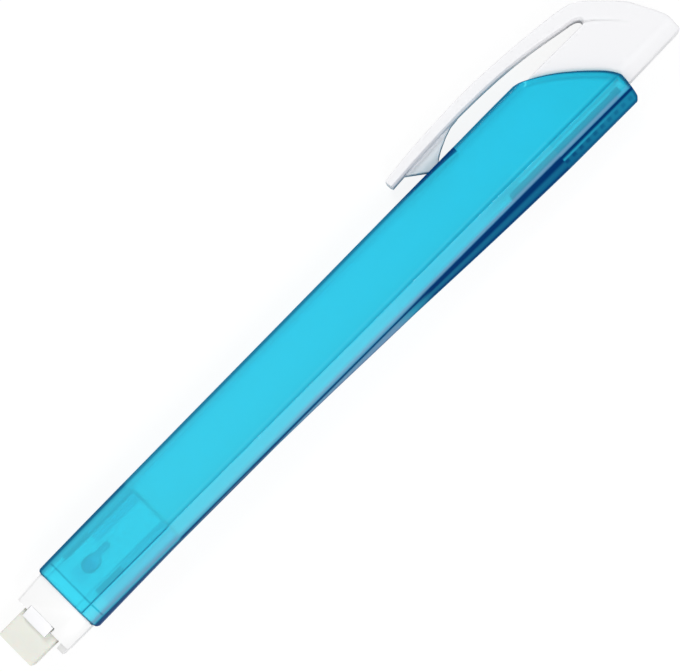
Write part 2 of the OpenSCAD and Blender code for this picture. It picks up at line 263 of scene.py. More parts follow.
def styreneMaterial():
    # see-through tinted styrene, injection moulded: polished outside and slightly milky, so that what touches
    # the wall shows and what lies deeper melts into blue
    material, tree, output, coords = newMaterial("tintedStyrene")
    inside = addNode(tree, "ShaderNodeAttribute", {"attribute_name": "insideWall"})
    milk = addNode(tree, "ShaderNodeAttribute", {"attribute_name": "milk"})
    paintedShading = addNode(tree, "ShaderNodeAttribute", {"attribute_name": "paintedShading"})
    greyShade = addNode(tree, "ShaderNodeAttribute", {"attribute_name": "greyShade"})
    # the attribute read here is painted shading: painted shade above 0, painted light below 0
    paintedShadeShare = addNode(tree, "ShaderNodeMapRange", None, {"Value": paintedShading.outputs["Fac"]})
    paintedLightShare = addNode(tree, "ShaderNodeMapRange", None, {"Value": paintedShading.outputs["Fac"]}, From_Max=-1.0)
    waves = addNode(tree, "ShaderNodeTexNoise", {"noise_dimensions": "3D"}, {"Vector": coords},
                    Scale=1 / (shellLook["moulding mm"] * mm), Detail=1.0, Roughness=0.4)
    bump = addNode(tree, "ShaderNodeBump", None, {"Height": waves.outputs["Fac"]},
                   Strength=0.05, Distance=0.0002)
    rough = addNode(tree, "ShaderNodeMapRange", None, {"Value": inside.outputs["Fac"]},
                    To_Min=shellLook["outsideRough"], To_Max=shellLook["insideRough"])
    # painted shade in the see-through share
    shadedGlassColour = mixColours(tree, paintedShadeShare.outputs["Result"], linear("#ffffff"), linear(shellLook["shadedGlass"]))
    glass = addNode(tree, "ShaderNodeBsdfPrincipled", None,
                    {"Base Color": shadedGlassColour, "Roughness": rough.outputs["Result"],
                     "Normal": bump.outputs["Normal"]}, IOR=shellLook["ior"], Transmission_Weight=1.0)
    spot = addNode(tree, "ShaderNodeSeparateXYZ", None, {"Vector": coords})
    along = addNode(tree, "ShaderNodeMapRange", None, {"Value": spot.outputs["X"]},
                    From_Min=mouthX * mm, From_Max=(mouthX + barrelLen) * mm)
    tones = ("noseBlue", "topBlue", "paintedLight", "greyShade", "deep")
    nose, top, paintedLight, greyShadeColour, deep = (linear(shellLook[tone]) for tone in tones)
    skin = mixColours(tree, along.outputs["Result"], nose, top)
    # painted light, painted grey shade and painted shade over the scattering share
    skin = mixColours(tree, paintedLightShare.outputs["Result"], skin, paintedLight)
    skin = mixColours(tree, greyShade.outputs["Fac"], skin, greyShadeColour)
    skin = mixColours(tree, paintedShadeShare.outputs["Result"], skin, deep)
    milky = addNode(tree, "ShaderNodeBsdfPrincipled", None,
                    {"Base Color": skin, "Normal": bump.outputs["Normal"]},
                    Roughness=0.3, IOR=shellLook["milkIor"])
    body = addNode(tree, "ShaderNodeMixShader", None,
                   {0: milk.outputs["Fac"], 1: glass.outputs["BSDF"], 2: milky.outputs["BSDF"]})
    path = addNode(tree, "ShaderNodeLightPath")
    straight = addNode(tree, "ShaderNodeBsdfTransparent", None, None, Color=linear(shellLook["lampsPass"]))
    surface = addNode(tree, "ShaderNodeMixShader", None,
                      {0: path.outputs["Is Shadow Ray"], 1: body.outputs[0], 2: straight.outputs["BSDF"]})
    depth = addNode(tree, "ShaderNodeVolumeAbsorption", None, None, Color=linear(shellLook["absorb"]),
                    Density=shellLook["density"])
    tree.links.new(surface.outputs[0], output.inputs["Surface"])
    tree.links.new(depth.outputs["Volume"], output.inputs["Volume"])
    return material


def clearMaterial():
    # the carrier's natural polypropylene: almost water clear in so thin a bar, a little waxy
    material, tree, output, coords = newMaterial("naturalPolypropylene")
    wax = addNode(tree, "ShaderNodeTexNoise", None, {"Vector": coords}, Scale=420.0, Detail=2.0)
    rough = addNode(tree, "ShaderNodeMapRange", None, {"Value": wax.outputs["Fac"]}, To_Min=0.12, To_Max=0.24)
    surface = addNode(tree, "ShaderNodeBsdfPrincipled", None, {"Roughness": rough.outputs["Result"]},
                      Base_Color=linear("#fdfeff"), IOR=1.49, Transmission_Weight=0.95)
    tree.links.new(surface.outputs["BSDF"], output.inputs["Surface"])
    return material


whiteLook = {
    "neck": ("#f5f5f5", 0.38),           # colour and roughness
    "cap": ("#efeff1", 0.42),
    "finger": ("#f6f6f8", 0.4),
    "speckle mm": 0.35,          # grain of the eroded mould, coarser than the real 0.05 mm so that it shows
    "cloudShade": 0.985,         # soft clouds in the white are this much darker
    "glossSpread": 0.04,         # how far the roughness swings to either side
}


def boxMask(tree, spot, off, box, soft):
    # 1 inside the box, falling to 0 over the soft edge. The box is in mm: along the barrel, up to the clip,
    # and how far off the mid plane it starts
    x0, x1, y0, y1, z0 = box
    along, up = spot.outputs["X"], spot.outputs["Y"]
    edges = ((along, mouthX + x0, 1), (along, mouthX + x1, -1), (up, y0, 1), (up, y1, -1), (off, z0, 1))
    mask = None
    for source, at, way in edges:
        side = addNode(tree, "ShaderNodeMapRange", {"interpolation_type": "SMOOTHSTEP"}, {"Value": source},
                       From_Min=(at - way * soft / 2) * mm, From_Max=(at + way * soft / 2) * mm)
        if mask is None:
            mask = side.outputs["Result"]
        else:
            both = addNode(tree, "ShaderNodeMath", {"operation": "MULTIPLY"},
                           {0: mask, 1: side.outputs["Result"]})
            mask = both.outputs[0]
    return mask


def absMaterial(name, look, marks):
    # white ABS, injection moulded: even and satin, with a very fine grain from the mould. The marks are
    # painted
    # shade: where a part inside the barrel stands off the wall, it is painted darker than where it touches
    material, tree, output, coords = newMaterial(name)
    colour, rough = whiteLook[look]
    spread = whiteLook["glossSpread"]
    grain = addNode(tree, "ShaderNodeTexNoise", None, {"Vector": coords},
                    Scale=1 / (whiteLook["speckle mm"] * mm), Detail=2.0)
    cloud = addNode(tree, "ShaderNodeTexNoise", None, {"Vector": coords}, Scale=90.0, Detail=1.0)
    base = linear(colour)
    darker = [c * whiteLook["cloudShade"] for c in base[:3]] + [1]
    colourOut = mixColours(tree, cloud.outputs["Fac"], darker, base)
    spot = addNode(tree, "ShaderNodeSeparateXYZ", None, {"Vector": coords})
    height = addNode(tree, "ShaderNodeMath", {"operation": "SUBTRACT"}, {0: spot.outputs["Z"]})
    height.inputs[1].default_value = midZ * mm
    off = addNode(tree, "ShaderNodeMath", {"operation": "ABSOLUTE"}, {0: height.outputs[0]})
    # painted shade marks over the white
    for box, soft, tone in marks:
        mask = boxMask(tree, spot, off.outputs[0], box, soft)
        colourOut = mixColours(tree, mask, colourOut, linear(tone))
    gloss = addNode(tree, "ShaderNodeMapRange", None, {"Value": grain.outputs["Fac"]},
                    To_Min=rough - spread, To_Max=rough + spread)
    bump = addNode(tree, "ShaderNodeBump", None, {"Height": grain.outputs["Fac"]},
                   Strength=0.08, Distance=0.00003)
    surface = addNode(tree, "ShaderNodeBsdfPrincipled", None,
                      {"Base Color": colourOut, "Roughness": gloss.outputs["Result"],
                       "Normal": bump.outputs["Normal"]}, IOR=1.53)
    tree.links.new(surface.outputs["BSDF"], output.inputs["Surface"])
    return material


def vinylMaterial():
    # soft vinyl eraser, extruded and cut: chalky, faintly yellow-grey, a little smeared
    material, tree, output, coords = newMaterial("eraserVinyl")
    powder = addNode(tree, "ShaderNodeTexNoise", None, {"Vector": coords},
                     Scale=2600.0, Detail=4.0, Roughness=0.7)
    smear = addNode(tree, "ShaderNodeTexNoise", None, {"Vector": coords}, Scale=260.0, Detail=2.0)
    shade = mixColours(tree, smear.outputs["Fac"], linear("#dfe1d8"), linear("#e8e8e0"))
    bump = addNode(tree, "ShaderNodeBump", None, {"Height": powder.outputs["Fac"]},
                   Strength=0.25, Distance=0.00004)
    surface = addNode(tree, "ShaderNodeBsdfPrincipled", None,
                      {"Base Color": shade, "Normal": bump.outputs["Normal"]}, Roughness=0.75,
                      Subsurface_Weight=0.15, Subsurface_Scale=0.0008)
    tree.links.new(surface.outputs["BSDF"], output.inputs["Surface"])
    return material


tintedStyrene = styreneMaterial()
# each painted shade mark: its box, as boxMask takes it, how soft its edge is, and its painted shade
insertPaintedShade = [
    ((2.5, 19.4, -9, 5, 2.5), 0.2, "#d6dade"),
    ((4.2, 9.7, 2.13, 3.7, 2.7), 0.12, "#444874"),
    ((9.7, 19.2, 2.64, 3.7, 2.7), 0.15, "#8088a4"),
    ((9.7, 19.2, 2.2, 2.64, 2.7), 0.1, "#585e84"),
    ((9.7, 19.2, 0.56, 2.14, 2.7), 0.2, "#a0b0c4"),
    ((4.2, 9.7, -5.4, -4.41, 2.7), 0.12, "#424672"),
    ((9.7, 19.2, -5.4, -4.13, 2.7), 0.12, "#a0b0c4"),
    ((4.2, 19.2, -8, -5.64, 2.2), 0.12, "#989cbe"),
    ((7.3, 19.2, -6.17, -5.74, 2.2), 0.12, "#666c90"),
    ((5.4, 19.2, -8, -7.03, 2.2), 0.2, "#8084a4"),
    ((0.2, 19.2, -4.2, -4.02, 2.7), 0.08, "#7884a4"),
    ((0.2, 4.2, 2.2, 2.36, 2.7), 0.08, "#7884a4"),
    ((3.4, 4.9, -2.35, 0.3, 2.7), 0.2, "#bcc4d2"),
]
armPaintedShade = [((90, 116.9, -9, -6.05, -1), 0.15, "#483e60")]     # painted shade where the ratchet arm is seen through the bevel
# painted shade on the finger tab, with a darker spot
fingerPaintedShade = [
    ((3, 16, -5, 3, -1), 0.5, "#9ca4c0"),
    ((4.7, 7.2, -2.5, 0.5, -1), 0.8, "#6c6c9c"),
]
neckAbs = absMaterial("whiteAbsNeck", "neck", insertPaintedShade)
capAbs = absMaterial("whiteAbsCap", "cap", armPaintedShade)
fingerAbs = absMaterial("whiteAbsFinger", "finger", fingerPaintedShade)
naturalPolypropylene = clearMaterial()
eraserVinyl = vinylMaterial()
print("materials made")


# barrel: one closed shell, so that light loses red on its way through and the edges deepen to navy; painted
# shade and painted light on its skin strengthen this

barrelSizes = {
    "side": [(0, 4.05), (12, 4.23), (31, 4.43), (53, 4.63), (72, 4.81), (94, 4.99), (105, 5.05), (119, 5.05)],
    "keel": [(0, 8.52), (12, 8.29), (26, 8.11), (33, 8.1), (51, 8.42), (59, 8.64), (66.3, 8.84), (72, 9.06),
             (87, 9.64), (102, 10.02), (108, 10.05), (119, 10.06)],
    "crease": 5.46,              # edge between a broad face and its bevel
    "bevel": 8.06,               # lower edge of the bevel
    "bevelDrop": 1.2,
    "sideRound": 0.6,
    "mouthBand": 2.2,
    "mouthDrop": 0.3,
    "mouthRound": 0.38,          # how much the rim draws in at the mouth, and between which x that fades
    "mouthRoundSpan": (-0.001, 0.4),
    "ridge": 0.7,                # half width of the keel's flat
    "sideWall": 0.58,            # seen thickness of the narrow wall under the clip
    "innerHalf": 3.95,           # the bore: half its height, its crease and its keel side
    "innerCrease": 5.27,
    "innerRight": 7.43,
    "armLane": (80.3, 7.98, 2.1),       # start, depth, half width
    "rackLane": (102.1, 9.35, 1.7, 0.75),        # start, depth, half width at the top and at the floor
    "tooth": (103.3, 1.55, 10, 0.55, 0.45, 1.15),   # first, pitch, count, height, tip and root width
    "groove": (75.7, 92.1, 0.58, 1.7),   # clip foot's groove: start, end, depth, half width
    "grooveWall": 0.7,           # what the wall keeps under the groove
    "endCurve": [(-13.4, 5.08), (-11.9, 4.66), (-9.4, 3.32), (-6.95, 1.69), (-4.5, -0.32), (-2, -2.71),
                 (-0.8, -4.12), (-0.08, -5.4), (0, -6.2), (-0.1, -7.64), (-0.3, -9.4), (-0.7, -9.95),
                 (-1.1, -10.2)],
    "keelStep": (0.02, 0.08),    # the slope below the bevel starts this much lower and further in
    "keelRound": (0.1, 0.6),     # and ends this much above the ridge and beside it
    "ridgeEdge": 0.02,
    "grooveSoft": 0.05,          # its side walls slope by this to either side
    "boreGroove": (0.1, 0.3),    # and end this much further out in the bore, below and above
    "boreRound": 0.14,
    "boreGrow": 0.1,             # how much wider the bore is at the mouth
    "boreCrease": [(-0.1, 0), (0.05, 0.03), (0.15, 0.07)],       # mm past its crease, and the fall there
    "boreFall": (0.5, 0.95, 1.1),        # fall halfway down the bore's bevel, near its lower edge and at it
    "boreStep": 0.012,           # keeps the lanes' floors and the bore apart where there is no lane
    "hair": 0.001,               # keeps points that follow each other apart
    "faceSteps": 26,             # stretches across a broad face
    "mouthRings": (0, 0.08, 0.2, 0.4, 1.2),      # places that get a cross-section, mm from the mouth
    "evenRings": (4, 3.6, 27),   # first, distance and number
    "endRings": (8, 4, 1.2, 0.6, 0.25),          # mm before the end
    "endLeans": 23.5,            # over this last stretch the cross-sections lean into the slanted end
    "mouthLine": 2.3,            # inner step behind the mouth, painted as a darker line of shade
    "lineHalf": 0.26,
    # painted shade of that line and of the rims
    "lineShade": 0.5,
    "rimShade": 0.85,
    "rimAtMouth": (0.4, 0.1),    # the rims' painted shade comes up between these, mm from the mouth or before the end
    "rimAtEnd": (0.75, 0.25),
    # where tones change along the shell: behind the insert, at the swelling, at the rack and towards its end,
    # and where the ratchet arm begins
    "insertEnd": (18.8, 19.6),
    "swelling": (66, 74),
    "rackFrom": (102.8, 103),
    "rackLate": (104, 116),
    "armFrom": (88, 92),
    # clip side, painted shade: the flat, the rounded edge, how much darker both are painted at the insert and
    # over the groove
    "flatShade": (0.6, 0, 0.35),
    "edgeShade": (0.7, 0.15, 0.28),
    # the edge's share of its painted shade from the flat, where it is none, to the broad face; then on the
    # broad face beside it: distance, painted shade and how much more at the insert
    "roundShade": (0, 0.9, 1, 1, 1, 0.6),
    "besideEdge": [(0.1, 0.15, 0.2), (0.3, 0.04, 0.16), (0.5, 0, 0.06)],
    "grooveSeen": (0.1, 0.3),    # depth at which the groove's painted shade begins at the edge, and at which it has
    "grooveBand": (1.55, 0.1, 0.12, 0.9),        # its painted dark band of shade: width per depth, added width, softness, shade
    # painted shading across the shell: painted shade above 0 and painted light below. First the place: mm
    # from the crease, mm from the middle, or the share of the way down the keel's slope or out along its
    # ridge. Then the painted shading at the nose, along the grip, at the swelling and at the rack
    "creaseShading": [(0.74, 0, -0.08, -0.08, -0.05), (0.6, 0, -0.05, -0.08, 0), (0.42, 0.02, 0.16, 0.25, 0.28),
                   (0.22, 0.1, 0.34, 0.4, 0.5), (0.1, 0.45, 0.45, 0.42, 0.52), (0.01, 0.85, 0.35, 0.15, 0.2)],
    "bevelShading": [(5.5, 0.75, 0.15, -0.1, 0), (5.58, 0.3, -0.2, -0.25, -0.1),
                  (5.75, -0.2, -0.34, -0.24, -0.15), (6.3, -0.36, -0.34, -0.23, -0.15),
                  (6.9, -0.36, -0.34, -0.23, -0.15), (7.25, -0.28, -0.36, -0.12, 0),
                  (7.42, -0.1, -0.3, 0, 0), (7.55, 0, -0.2, 0.06, 0), (7.72, 0.1, -0.05, 0.15, 0.05),
                  (7.86, 0.15, 0.35, 0.75, 0.5), (8.0, 0.45, 0.85, 1, 1)],
    "keelShading": [(0, 0.7, 1, 1, 1), (0.1, 0.85, 1, 1, 1), (0.19, 0.92, 1, 1, 0.75), (0.25, 0.92, 1, 1, 0.34),
                 (0.33, 0.92, 1, 0.97, 0.38), (0.4, 0.92, 1, 0.9, 0.8), (0.48, 0.92, 1, 0.84, 0.82),
                 (0.56, 0.92, 1, 0.8, 0.82), (0.78, 0.92, 1, 0.84, 0.82), (1, 0.95, 1, 1, 0.9)],
    "ridgeShading": [(1, 0.85, 0.85, 0.9, 0.85), (0.6, 0.72, 0.72, 0.76, 0.72), (0, 0.55, 0.55, 0.6, 0.55)],
    "waist": (0.08, 0.2, 0.75),          # at the grip the keel is painted lighter again this far below the bevel, by how much
    # share down the slope where the rack's painted light line sinks towards its end, and where the part below
    # it is painted lighter, and by how much
    "lateLine": (0.2, 0.35, 0.26),
    "lateBelow": (0.35, 1, -0.2),
    "toothShade": (0.35, 0.7, 0.12),      # painted shade over the rack's teeth: share down the slope it starts and ends at, how dark
    "toothSeen": 0.3,            # share of a tooth's height from which it shows
    "milk": (0.62, 0.5, 0.6, 0.7),       # share that scatters: clip side, broad faces, bevels, keel
    "milkCrease": 0.1,           # it changes within this of the crease,
    "milkKeel": (7.25, 7.5),     # between these, mm from the middle,
    "milkSide": (-1.6, -0.9),    # and between these, mm from the clip side
    "armClear": 0.16,            # by how much less the bevels scatter over the ratchet arm
    "paintedShadeOpacity": 0.9,               # where shade is painted, this much of what would come through doesn't, so that it stays dark
    # how much grey shade is painted on the bevels' lower edges along the stick, and between which heights it
    # comes and goes
    "greyShade": [(0, 0.5), (18.8, 0.5), (19.6, 0.3), (42, 0.3), (47, 0.5), (66, 0.5), (74, 0.55), (115.4, 0.55),
             (116.4, 0.25), (130, 0.25)],
    "greyShadeFrom": (7.1, 7.5),
    "greyShadeTo": (8.02, 7.8),
    "keelHaze": (0.6, 0.1, 0.25),        # how much grey shade is painted on the grip's keel, how far below the bevel that comes in
    "keelHazeEnd": (70, 66),
    "sharp": 24,                 # degrees, edges sharper than this stay crisp
}


barrelEndLine = curveThrough(barrelSizes["endCurve"], 6)


def barrelEnd(y):
    # how far along the slanted top end lies at height y
    line = barrelEndLine
    for (x1, y1), (x2, y2) in zip(line, line[1:]):
        if y2 <= y <= y1:
            return barrelLen + x1 + (x2 - x1) * (y1 - y) / max(y1 - y2, 1e-6)
    return barrelLen + (line[0][0] if y > line[0][1] else line[-1][0])


def ramp(x, start, end):
    # 0 up to the start, 1 from the end on, even between; the end may also lie below the start
    return min(1, max(0, (x - start) / (end - start)))


def mouthSink(x):
    # how far the broad faces draw in at the mouth
    return barrelSizes["mouthDrop"] * max(0, 1 - x / barrelSizes["mouthBand"])


def grooveDip(x):
    # depth of the clip foot's groove
    start, end, depth, half = barrelSizes["groove"]
    return depth * (x - start) / (end - start) if start < x < end else 0


def toneAt(x, nose, grip, full, rack):
    # the painted shading at x out of a table's four columns
    atGrip, atFull, atRack = (ramp(x, *barrelSizes[zone]) for zone in ("insertEnd", "swelling", "rackFrom"))
    paintedShading = nose * (1 - atGrip) + grip * atGrip
    paintedShading = paintedShading * (1 - atFull) + full * atFull
    return paintedShading * (1 - atRack) + rack * atRack


def clipSidePoints(x, side, top):
    # the flat under the clip, the rounded edge and the first stretch of the broad face, each point with its
    # painted shade
    sizes = barrelSizes
    dip, half, radius = grooveDip(x), sizes["groove"][3], sizes["sideRound"]
    soft = sizes["grooveSoft"]
    bandPerDip, bandMore, bandSoft, bandShade = sizes["grooveBand"]
    atInsert, atGroove = 1 - ramp(x, *sizes["insertEnd"]), ramp(dip, *sizes["grooveSeen"])
    flat, edge = (paintedShading + insert * atInsert + groove * atGroove
                  for paintedShading, insert, groove in (sizes["flatShade"], sizes["edgeShade"]))
    points = [(side - dip, 0, flat), (side - dip, half * 0.6, flat), (side - dip, half - soft, flat),
              (side, half + soft, flat)]
    rounded = [(y, z, edge * share if share else flat)
               for (y, z), share in zip(corner(side - radius, top - radius, radius, 5), sizes["roundShade"])]
    for away, paintedShading, more in sizes["besideEdge"]:
        rounded.append((side - radius - away, top, paintedShading + more * atInsert))
    for y, z, paintedShading in rounded:
        # painted dark band of shade over the foot's groove
        band = bandShade * ramp(bandPerDip * dip + bandMore - (side - y), 0, bandSoft) if dip else paintedShading
        points.append((y, z, max(paintedShading, band)))
    return points


def keelPoints(x, top):
    # from just below the bevel down the keel's slope and over its ridge, each point with its painted shading
    sizes = barrelSizes
    keel, ridge = lookUp(sizes["keel"], x), sizes["ridge"]
    stepY, stepZ = sizes["keelStep"]
    aboveRidge, besideRidge = sizes["keelRound"]
    low, lowZ = -sizes["bevel"] - stepY, top - stepZ
    tip = -max(keel, sizes["bevel"] + stepY) + aboveRidge * ramp(x, *sizes["swelling"])
    tipZ = ridge + besideRidge
    toothFrom, toothTo, toothShadeAmount = sizes["toothShade"]
    waistFrom, waistTo, waistPale = sizes["waist"]
    points = []
    for share, nose, grip, full, rack in sizes["keelShading"]:
        # painted shade and painted light late along the rack
        for start, end, late in (sizes["lateLine"], sizes["lateBelow"]):
            if start < share < end:
                rack += ramp(x, *sizes["rackLate"]) * late
        # painted lighter below the bevel at the grip
        grip -= waistPale * ramp((low - tip) * share, waistFrom, waistTo)
        paintedShading = toneAt(x, nose, grip, full, rack)
        # painted shade over the rack's teeth
        if toothFrom < share < toothTo:
            paintedShading += toothShadeAmount * ramp(toothShare(x), sizes["toothSeen"], 1)
        points.append((low + (tip - low) * share, lowZ + (tipZ - lowZ) * share, paintedShading))
    points += [(-keel + sizes["ridgeEdge"] * (share == 1), ridge * share, toneAt(x, *shadings))
               for share, *shadings in sizes["ridgeShading"]]
    return points


def outerSection(x):
    # half a cross-section from the clip side to the keel, each point with its painted shading
    sizes = barrelSizes
    top, crease, steps = halfT - mouthSink(x), sizes["crease"], sizes["faceSteps"]
    points = clipSidePoints(x, lookUp(sizes["side"], x), top)
    left, right = points[-1][0], -crease + sizes["creaseShading"][0][0]
    points += [(left + (right - left) * i / steps, top, 0) for i in range(1, steps)]
    points += [(-crease + away, top, toneAt(x, *shadings)) for away, *shadings in sizes["creaseShading"]]
    slope = sizes["bevelDrop"] / (sizes["bevel"] - crease)
    points += [(-y, top - (y - crease) * slope, toneAt(x, *shadings)) for y, *shadings in sizes["bevelShading"]]
    return points + keelPoints(x, top - sizes["bevelDrop"])


def toothShare(x):
    # 1 over the tip of a rack tooth, 0 between two
    first, pitch, count, height, tipWidth, rootWidth = barrelSizes["tooth"]
    number = round((x - first) / pitch)
    if not 0 <= number < count:
        return 0
    return ramp(abs(x - first - number * pitch), rootWidth / 2, tipWidth / 2)


def innerSection(x):
    # the same for the bore, with the foot's groove, the arm's lane and the rack's lane
    sizes = barrelSizes
    hair, step, half = sizes["hair"], sizes["boreStep"], sizes["groove"][3]
    grow = sizes["boreGrow"] if x < sizes["mouthBand"] else 0
    outside = lookUp(sizes["side"], x)
    side = outside - sizes["sideWall"]
    under = min(side, outside - grooveDip(x) - sizes["grooveWall"]) + grow
    side, radius, right = side + grow, sizes["boreRound"], sizes["innerRight"] + grow
    top = sizes["innerHalf"] + grow - mouthSink(x)
    crease, creaseEnd = sizes["innerCrease"], sizes["boreCrease"][0][0]
    beside, above = sizes["boreGroove"]
    points = [(under, 0), (under, half * 0.6), (under, half + beside), (side, half + above)]
    points += corner(side - radius, top - radius, radius, 3)
    left, end = side - radius, -crease - creaseEnd
    steps = sizes["faceSteps"]
    points += [(left + (end - left) * i / steps, top) for i in range(1, steps)]
    points += [(-crease - past, top - fall) for past, fall in sizes["boreCrease"]]
    halfway, near, full = sizes["boreFall"]
    points += [(-(crease + right) / 2, top - halfway), (-right + 0.1, top - near), (-right, top - full)]
    armStart, armDepth, armHalf = sizes["armLane"]
    rackStart, rackDepth, rackTop, rackHalf = sizes["rackLane"]
    lane = armDepth if x > armStart else right + step
    floor = rackDepth - sizes["tooth"][3] * toothShare(x) if x > rackStart else lane + step
    points += [(-right - 2 * hair, armHalf + 0.02), (-lane, armHalf), (-lane - 4 * hair, rackTop)]
    points += [(-floor, rackHalf), (-floor - 3 * hair, rackHalf * 0.5), (-floor - 4 * hair, 0)]
    return [(y, z, 0) for y, z in points]


def shellStations():
    # the places along the shell that get a cross-section, mm from the mouth
    sizes = barrelSizes
    first, pitch, count, height, tipWidth, rootWidth = sizes["tooth"]
    teeth = [first + n * pitch + d for n in range(count)
             for d in (-rootWidth / 2, -tipWidth / 2, tipWidth / 2, rootWidth / 2)]
    edges = [sizes["groove"][0]]
    steep = ((sizes["armLane"][0], 0.02), (sizes["rackLane"][0], 0.12), (sizes["groove"][1], 0.03),
             (sizes["mouthLine"], sizes["lineHalf"]))
    for middle, reach in steep:
        edges += [middle - reach, middle + reach]
    edges += [sizes["mouthLine"], sizes["keelHazeEnd"][0]]
    edges += [*sizes["rackFrom"], *sizes["swelling"], *sizes["insertEnd"]]
    evenFirst, evenStep, evenCount = sizes["evenRings"]
    even = [evenFirst + evenStep * i for i in range(evenCount)]
    ends = [*sizes["mouthRings"]] + [barrelLen - d for d in sizes["endRings"]] + [barrelLen]
    return sorted(set(teeth + edges + even + ends))


def scatterShare(x, y, paintedShading):
    # how much of the skin scatters instead of letting light through
    sizes = barrelSizes
    clipSide, face, bevel, keel = sizes["milk"]
    bevel -= sizes["armClear"] * ramp(x, *sizes["armFrom"])
    crease, within = sizes["crease"], sizes["milkCrease"]
    share = face + (bevel - face) * ramp(-y, crease - within, crease + within)
    share += (keel - bevel) * ramp(-y, *sizes["milkKeel"])
    share += (clipSide - face) * ramp(y - lookUp(sizes["side"], x), *sizes["milkSide"])
    # where shade is painted, more of the skin scatters, so the painted shade stays dark
    return share + (1 - share) * sizes["paintedShadeOpacity"] * max(0, paintedShading)


def greyShadeShare(x, y):
    # how much grey shade is painted on the skin: along the bevels' lower edges and on the grip's keel
    sizes = barrelSizes
    keelHaze, start, end = sizes["keelHaze"]
    bevelGreyShade = lookUp(sizes["greyShade"], x) * ramp(-y, *sizes["greyShadeFrom"]) * ramp(-y, *sizes["greyShadeTo"])
    keelHaze *= ramp(-y, sizes["bevel"] + start, sizes["bevel"] + end) * ramp(x, *sizes["keelHazeEnd"])
    return bevelGreyShade + keelHaze


def drawIn(value, pull):
    # nearer to 0 by the pull, but not past it
    return value - math.copysign(min(pull, abs(value)), value)


def buildBarrel():
    sizes = barrelSizes
    stations = shellStations()
    bendFrom = barrelLen - sizes["endLeans"]
    points, rings = [], []
    values = {"insideWall": [], "paintedShading": [], "milk": [], "greyShade": []}
    for inner, section in ((0, outerSection), (1, innerSection)):
        for x in stations:
            half = section(x)
            loop = half + [(y, -z, t) for y, z, t in reversed(half[1:-1])]
            # the mouth's rim is rounded, so its corners draw in
            pull = 0 if inner else sizes["mouthRound"] * (1 - math.sqrt(ramp(x, *sizes["mouthRoundSpan"])))
            # painted shade at the mouth's and the top end's rims and along the line behind the mouth
            atRim = max(ramp(x, *sizes["rimAtMouth"]), ramp(barrelLen - x, *sizes["rimAtEnd"]))
            rim = sizes["rimShade"] * atRim
            line = sizes["lineShade"] if x == sizes["mouthLine"] else 0
            ring = []
            for y, z, paintedShading in loop:
                lean = (x - bendFrom) * (barrelEnd(y) - bendFrom) / (barrelLen - bendFrom)
                ring.append(len(points))
                points.append((x if x < bendFrom else bendFrom + lean, drawIn(y, pull), drawIn(z, pull)))
                values["insideWall"].append(float(inner))
                values["paintedShading"].append(max(paintedShading, rim, line) if rim or line and not inner else paintedShading)
                values["milk"].append(0.0 if inner else scatterShare(x, y, paintedShading))
                values["greyShade"].append(0.0 if inner else greyShadeShare(x, y))
            rings.append(ring)
    count = len(stations)
    faces = []
    for wall in (rings[:count], rings[count:]):
        size = len(wall[0])
        for a, b in zip(wall, wall[1:]):
            faces += [(a[j], a[(j + 1) % size], b[(j + 1) % size], b[j]) for j in range(size)]
    for i in (0, count - 1):
        faces += bridge(points, rings[i], rings[count + i])
    barrel = addPiece("barrelShell", points, faces, "barrel", tintedStyrene, ["barrel"])
    for name, column in values.items():
        barrel.data.attributes.new(name, "FLOAT", "POINT").data.foreach_set("value", column)
    tidyNormals(barrel, sizes["sharp"])
    return barrel


def bridge(points, outer, inner):
    # faces between two rings that start on the same side and run the same way round
    def shares(ring):
        total, marks = 0, [0]
        for j in range(len(ring)):
            total += (Vector(points[ring[(j + 1) % len(ring)]]) - Vector(points[ring[j]])).length
            marks.append(total)
        return [m / total for m in marks]
    a, b = shares(outer), shares(inner)
    i = j = 0
    faces = []
    while i < len(outer) or j < len(inner):
        i2, j2 = (i + 1) % len(outer), (j + 1) % len(inner)
        if j >= len(inner) or (i < len(outer) and a[i + 1] <= b[j + 1]):
            faces.append((outer[i % len(outer)], outer[i2], inner[j % len(inner)]))
            i += 1
        else:
            faces.append((outer[i % len(outer)], inner[j2], inner[j]))
            j += 1
    return faces


barrel = buildBarrel()
print("barrel shell", len(barrel.data.polygons), "faces")


# nosepiece, finger, eraser and carrier: the CAD forms, all but the eraser with their edges softened

noseSizes = {
    "neckEdge": 0.2,
    "fingerEdge": 0.12,
    "carrierEdge": 0.1,
    "tab": [(-6.6, -3.94), (-6.6, 0.86), (-4.53, 0.98), (-4.53, -3.5), (-4.75, -3.72), (-5.5, -3.94)],
    "tabSpan": (2.7, 3.8),       # mm off the mid plane
    "sharp": 40,                 # degrees, edges sharper than this stay crisp
}

nose = copyOfNode("nosepiece", "nosepieceMoulding")
softenEdges(nose, noseSizes["neckEdge"])
finishPiece(nose, "nose", neckAbs, ["nosepiece"])
tidyNormals(nose, noseSizes["sharp"])

finger = copyOfNode("finger", "fingerTab")
combine(finger, prism("tabFace", noseSizes["tab"], *noseSizes["tabSpan"]), "UNION")
softenEdges(finger, noseSizes["fingerEdge"])
finishPiece(finger, "nose", fingerAbs, ["finger"])
tidyNormals(finger, noseSizes["sharp"])

eraser = copyOfNode("eraser", "eraserBlock")
finishPiece(eraser, "eraser", eraserVinyl, ["eraser"])
tidyNormals(eraser, noseSizes["sharp"])

carrier = copyOfNode("eraser_carrier", "carrierBar")
softenEdges(carrier, noseSizes["carrierEdge"], 2)
finishPiece(carrier, "slider", naturalPolypropylene, ["eraser_carrier"])
tidyNormals(carrier, noseSizes["sharp"])
print("nose end made")


# end cap: blade, clip, foot and ratchet arm are one moulding

